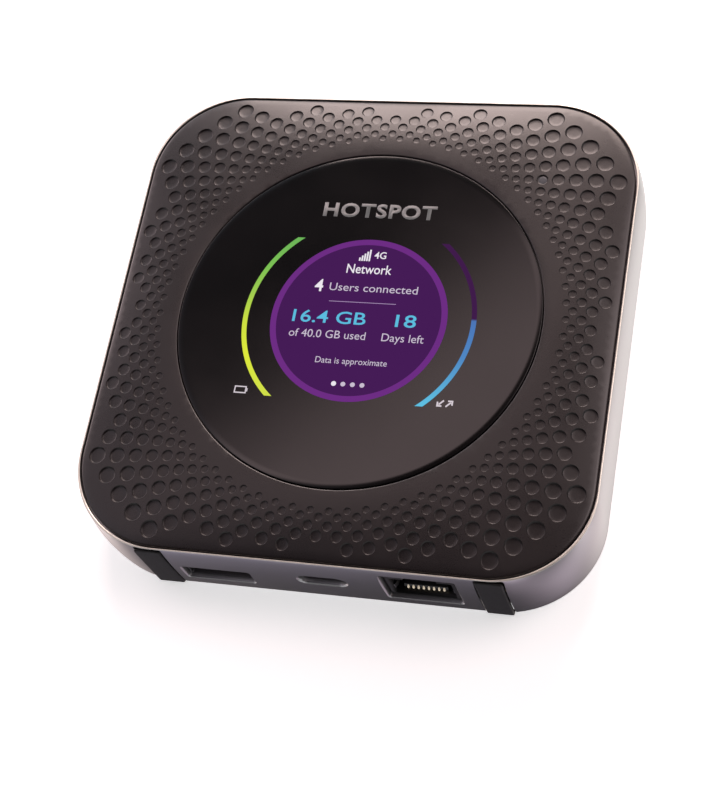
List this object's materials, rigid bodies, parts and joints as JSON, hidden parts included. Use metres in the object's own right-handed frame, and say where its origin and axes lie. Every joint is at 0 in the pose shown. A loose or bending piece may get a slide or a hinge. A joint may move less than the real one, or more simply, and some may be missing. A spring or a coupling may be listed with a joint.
{
  "type": "mobile hotspot",
  "caption": "Square battery-powered 4G hotspot router with a domed dimpled face, round display lens, edge ports, rubber antenna flaps and a lift-off rear cover.",
  "frame": {"origin": "middle of the underside, on the surface that the feet rest on", "axes": "+Z out of the screen, ports on the -Y edge, buttons on the +Y edge, +X to the user's right"},
  "size_m": [0.1054, 0.1054, 0.0203],
  "materials": {
    "face": "fine matte, moulded",
    "band": "satin silver-lilac metallic paint",
    "lens": "polished black",
    "screen": "lit display",
    "rubber": "matte black",
    "cover": "fine matte",
    "frame": "matte",
    "board": "solder mask",
    "steel": "satin",
    "gold": "gold plated",
    "insulator": "matte",
    "battery": "film-wrapped",
    "card": "matte",
    "diffuser": "frosted",
    "button": "satin"
  },
  "bodies": {
    "cover": {"rear_cover": "cover", "foot_pad_1": "rubber", "foot_pad_2": "rubber", "foot_pad_3": "rubber", "foot_pad_4": "rubber"},
    "battery": {"battery_pack": "battery", "battery_terminals": "gold"},
    "sim": {"sim_card": "card"},
    "microsd": {"microsd_card": "insulator"},
    "reset": {"reset_button": "button"},
    "power": {"power_button": "button"},
    "nav": {"nav_button": "button"},
    "flap_left": {"antenna_flap_left": "rubber"},
    "flap_right": {"antenna_flap_right": "rubber"},
    "housing": {"front_face_plate": "face", "side_band": "band", "lens_cover": "lens", "lcd_module": "screen", "lcd_bracket": "steel", "lcd_ribbon": "insulator", "led_light_pipe": "diffuser", "main_pcb": "board", "modem_shield": "steel", "wifi_shield": "steel", "power_shield": "steel", "antenna_left": "frame", "antenna_right": "frame", "usb_a_shell": "steel", "usb_a_tongue": "insulator", "usb_c_shell": "steel", "usb_c_tongue": "insulator", "rj45_jack": "insulator", "rj45_contacts": "gold", "antenna_socket_left": "insulator", "antenna_socket_right": "insulator", "antenna_jack_left": "gold", "antenna_jack_right": "gold", "battery_chassis": "frame", "chassis_screw_1": "steel", "chassis_screw_2": "steel", "chassis_screw_3": "steel", "chassis_screw_4": "steel", "battery_connector": "insulator", "sim_holder": "steel", "microsd_holder": "steel", "power_switch": "steel", "nav_switch": "steel", "flap_anchor_left": "rubber", "flap_anchor_right": "rubber"}
  },
  "joints": [
    {"name": "cover_release", "type": "slide", "parent": "cover", "child": "housing", "axis": [0, 0, 1], "range_m": [0, 0.024]},
    {"name": "battery_lift", "type": "slide", "parent": "housing", "child": "battery", "axis": [0, 0, -1], "range_m": [0, 0.012]},
    {"name": "sim_slide", "type": "slide", "parent": "housing", "child": "sim", "axis": [0, -1, 0], "range_m": [0, 0.01]},
    {"name": "microsd_slide", "type": "slide", "parent": "housing", "child": "microsd", "axis": [0, 1, 0], "range_m": [0, 0.009]},
    {"name": "reset_press", "type": "slide", "parent": "housing", "child": "reset", "axis": [0, 0, 1], "range_m": [0, 0.0003], "stiffness_N_per_m": 400},
    {"name": "power_press", "type": "slide", "parent": "housing", "child": "power", "axis": [0, -1, 0], "range_m": [0, 0.0005], "stiffness_N_per_m": 1500},
    {"name": "nav_press", "type": "slide", "parent": "housing", "child": "nav", "axis": [0, -1, 0], "range_m": [0, 0.0005], "stiffness_N_per_m": 1500},
    {"name": "flap_left_hinge", "type": "hinge", "parent": "housing", "child": "flap_left", "pos_m": [-0.0339, -0.0521, 0.0022], "axis": [1, 0, 0], "range_deg": [0, 85], "stiffness_Nm_per_rad": 0.002},
    {"name": "flap_right_hinge", "type": "hinge", "parent": "housing", "child": "flap_right", "pos_m": [0.0339, -0.0521, 0.0022], "axis": [1, 0, 0], "range_deg": [0, 85], "stiffness_Nm_per_rad": 0.002}
  ],
  "couplings": [
    {"joint": "battery_lift", "follows": "cover_release", "ratio": 0.5}
  ]
}
